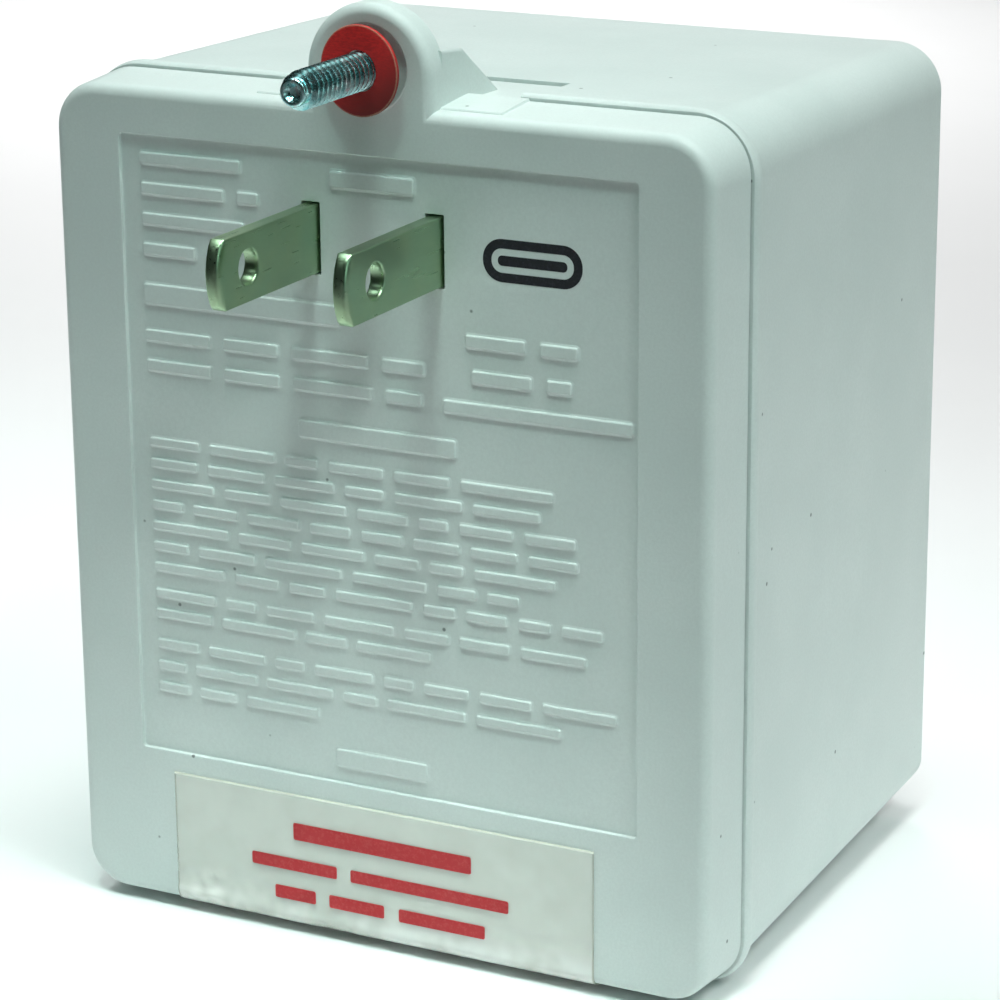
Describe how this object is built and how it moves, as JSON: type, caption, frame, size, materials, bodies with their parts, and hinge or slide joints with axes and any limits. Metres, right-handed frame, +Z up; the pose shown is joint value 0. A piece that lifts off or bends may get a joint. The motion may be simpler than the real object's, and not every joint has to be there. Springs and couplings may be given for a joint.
{
  "type": "plug-in AC transformer",
  "caption": "Moulded box that plugs straight into a wall receptacle and steps mains voltage down, with flat blades, a captive mounting screw in an ear, and screw terminals underneath.",
  "frame": {"origin": "under the middle of the object's box, on the surface that it stands on", "axes": "+Z up, from the blades towards the mounting ear; -Y the way the blades point; +X to the right as seen by someone who faces the blades"},
  "size_m": [0.0692, 0.0724, 0.0909],
  "materials": {
    "case_plastic": "off-white moulded plastic, fine matte grain",
    "blade_nickel": "nickel-plated brass, slightly warm",
    "screw_zinc": "clear zinc plate, bright",
    "red_fibre": "vulcanised fibre",
    "clear_film": "clear adhesive film, a little yellow",
    "core_steel": "stacked sheet steel, varnished",
    "strap_steel": "bare strip steel",
    "bobbin_nylon": "natural nylon",
    "enamelled_copper": "enamelled copper wire",
    "coil_tape": "yellow polyester tape",
    "component_body": "moulded, dark",
    "lead_insulation": "black wire insulation",
    "fish_paper": "grey-green insulating paper",
    "terminal_brass": "stamped brass"
  },
  "bodies": {
    "case": {"plug_cover": "case_plastic", "main_housing": "case_plastic", "blade_left": "blade_nickel", "blade_right": "blade_nickel", "label_film": "clear_film", "core_e_stack": "core_steel", "core_i_stack": "core_steel", "core_strap": "strap_steel", "bobbin": "bobbin_nylon", "primary_winding": "enamelled_copper", "secondary_winding": "enamelled_copper", "primary_tape": "coil_tape", "secondary_tape": "coil_tape", "thermal_cutoff": "component_body", "primary_lead_left": "lead_insulation", "primary_lead_right": "lead_insulation", "secondary_lead": "lead_insulation", "secondary_fuse": "component_body", "insulating_sheet": "fish_paper", "terminal_plate_left": "terminal_brass", "terminal_plate_right": "terminal_brass", "terminal_screw_left": "screw_zinc", "terminal_screw_right": "screw_zinc", "terminal_nut_left": "screw_zinc", "terminal_nut_right": "screw_zinc"},
    "captive_screw": {"mounting_screw": "screw_zinc", "retaining_washer": "red_fibre"}
  },
  "joints": [
    {"name": "mounting_screw_turn", "type": "hinge", "parent": "case", "child": "captive_screw", "pos_m": [0, -0.0193, 0.0851], "axis": [0, 1, 0], "continuous": true}
  ]
}
